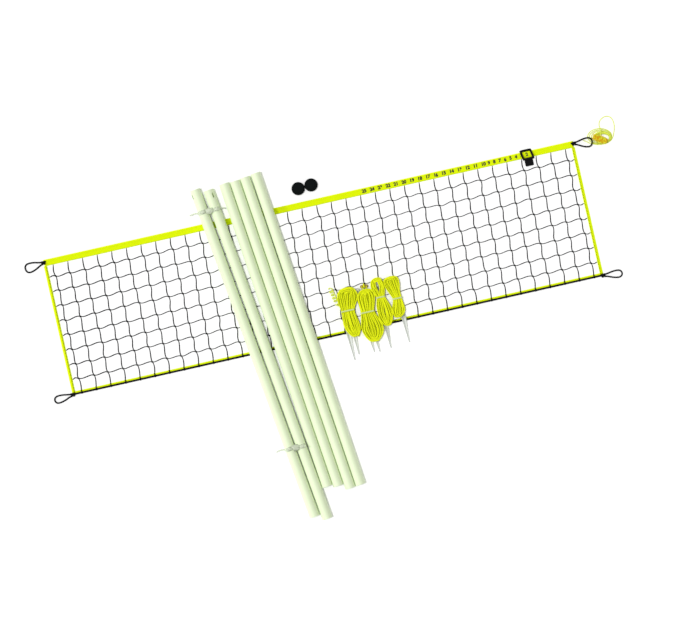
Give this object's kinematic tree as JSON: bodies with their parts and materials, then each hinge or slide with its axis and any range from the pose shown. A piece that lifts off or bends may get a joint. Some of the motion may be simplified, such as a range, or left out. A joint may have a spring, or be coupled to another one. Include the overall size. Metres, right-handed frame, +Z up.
{
  "type": "volleyball net kit",
  "caption": "Volleyball net kit laid out flat: net with numbered tape and corner loops, loose pole tubes, hanked guy ropes with stakes, end caps and a sliding score marker.",
  "frame": {"origin": "on the floor, midway along the net and on the line of its foot cord, which is the middle of the kit's footprint", "axes": "+X along the top tape, +Y from the foot cord to the top tape, +Z up from the floor"},
  "size_m": [4.0504, 2.3551, 0.1031],
  "materials": {
    "net_twine": "knotted black twine",
    "tape_yellow": "woven fluorescent tape",
    "cord_black": "braided black cord",
    "cord_white": "braided core cord",
    "tube_cream": "off-white powder coat",
    "rubber_black": "matt moulded rubber",
    "tie_clear": "translucent plastic tie",
    "band_clear": "clear rubber band",
    "rope_yellow": "laid yellow rope",
    "rope_gold": "tightly wrapped gold rope",
    "stake_white": "translucent white plastic",
    "runner_gold": "moulded gold plastic",
    "marker_black": "moulded black plastic"
  },
  "bodies": {
    "net": {"netting": "net_twine", "top_tape": "tape_yellow", "foot_tape": "tape_yellow", "side_tape_left": "tape_yellow", "side_tape_right": "tape_yellow", "head_cord": "cord_white", "side_cord_left": "cord_white", "side_cord_right": "cord_white", "foot_cord": "cord_black", "foot_lashings": "cord_black", "corner_knot_top_right": "cord_black", "corner_loop_top_right": "cord_black", "corner_knot_bottom_right": "cord_black", "corner_loop_bottom_right": "cord_black", "corner_knot_top_left": "cord_black", "corner_loop_top_left": "cord_black", "corner_knot_bottom_left": "cord_black", "corner_loop_bottom_left": "cord_black", "head_rope_coil": "rope_yellow", "head_rope_wrap": "rope_gold"},
    "score_marker": {"marker_frame": "marker_black", "marker_grip": "marker_black"},
    "tied_pair": {"upper_tie": "tie_clear", "lower_tie": "tie_clear"},
    "pair_tube_left": {"pair_tube_left": "tube_cream"},
    "pair_tube_right": {"pair_tube_right": "tube_cream"},
    "pole_tube_a": {"pole_tube_a": "tube_cream"},
    "pole_tube_b": {"pole_tube_b": "tube_cream"},
    "pole_tube_c": {"pole_tube_c": "tube_cream"},
    "pole_tube_d": {"pole_tube_d": "tube_cream"},
    "cap_left": {"cap_left": "rubber_black"},
    "cap_right": {"cap_right": "rubber_black"},
    "hank_1": {"guy_hank_1": "rope_yellow", "hank_band_1": "band_clear", "guy_chain_tail": "rope_yellow"},
    "hank_2": {"guy_hank_2": "rope_yellow", "hank_band_2": "band_clear", "guy_runner": "runner_gold"},
    "hank_3": {"guy_hank_3": "rope_yellow", "hank_band_3": "band_clear"},
    "hank_4": {"guy_hank_4": "rope_yellow", "hank_band_4": "band_clear"},
    "stake_1a": {"stake_1a": "stake_white"},
    "stake_1b": {"stake_1b": "stake_white"},
    "stake_2a": {"stake_2a": "stake_white"},
    "stake_2b": {"stake_2b": "stake_white"},
    "stake_3": {"stake_3": "stake_white"},
    "stake_4": {"stake_4": "stake_white"}
  },
  "joints": [
    {"name": "marker_slide", "type": "slide", "parent": "net", "child": "score_marker", "axis": [1, 0, 0], "range_m": [-1.12, 0.037]},
    {"name": "pair_lift", "type": "slide", "parent": "net", "child": "tied_pair", "axis": [0, 0, 1], "range_m": [0, 0.3]},
    {"name": "pair_tube_left_draw", "type": "slide", "parent": "tied_pair", "child": "pair_tube_left", "axis": [0.1303, -0.9915, 0], "range_m": [0, 0.6]},
    {"name": "pair_tube_right_draw", "type": "slide", "parent": "tied_pair", "child": "pair_tube_right", "axis": [0.1265, -0.992, 0], "range_m": [0, 0.6]},
    {"name": "pole_tube_a_lift", "type": "slide", "parent": "net", "child": "pole_tube_a", "axis": [0, 0, 1], "range_m": [0, 0.3]},
    {"name": "pole_tube_b_lift", "type": "slide", "parent": "net", "child": "pole_tube_b", "axis": [0, 0, 1], "range_m": [0, 0.3]},
    {"name": "pole_tube_c_lift", "type": "slide", "parent": "net", "child": "pole_tube_c", "axis": [0, 0, 1], "range_m": [0, 0.3]},
    {"name": "pole_tube_d_lift", "type": "slide", "parent": "net", "child": "pole_tube_d", "axis": [0, 0, 1], "range_m": [0, 0.3]},
    {"name": "cap_left_lift", "type": "slide", "parent": "net", "child": "cap_left", "axis": [0, 0, 1], "range_m": [0, 0.2]},
    {"name": "cap_right_lift", "type": "slide", "parent": "net", "child": "cap_right", "axis": [0, 0, 1], "range_m": [0, 0.2]},
    {"name": "hank_1_lift", "type": "slide", "parent": "net", "child": "hank_1", "axis": [0, 0, 1], "range_m": [0, 0.25]},
    {"name": "hank_2_lift", "type": "slide", "parent": "net", "child": "hank_2", "axis": [0, 0, 1], "range_m": [0, 0.25]},
    {"name": "hank_3_lift", "type": "slide", "parent": "net", "child": "hank_3", "axis": [0, 0, 1], "range_m": [0, 0.25]},
    {"name": "hank_4_lift", "type": "slide", "parent": "net", "child": "hank_4", "axis": [0, 0, 1], "range_m": [0, 0.25]},
    {"name": "stake_1a_draw", "type": "slide", "parent": "hank_1", "child": "stake_1a", "axis": [0.0087, -1, 0], "range_m": [0, 0.35]},
    {"name": "stake_1b_draw", "type": "slide", "parent": "hank_1", "child": "stake_1b", "axis": [0.0087, -1, 0], "range_m": [0, 0.35]},
    {"name": "stake_2a_draw", "type": "slide", "parent": "hank_2", "child": "stake_2a", "axis": [0.0593, -0.9982, 0], "range_m": [0, 0.35]},
    {"name": "stake_2b_draw", "type": "slide", "parent": "hank_2", "child": "stake_2b", "axis": [0.0593, -0.9982, 0], "range_m": [0, 0.35]},
    {"name": "stake_3_draw", "type": "slide", "parent": "hank_3", "child": "stake_3", "axis": [0, -1, 0], "range_m": [0, 0.35]},
    {"name": "stake_4_draw", "type": "slide", "parent": "hank_4", "child": "stake_4", "axis": [0.0105, -0.9999, 0], "range_m": [0, 0.35]}
  ]
}
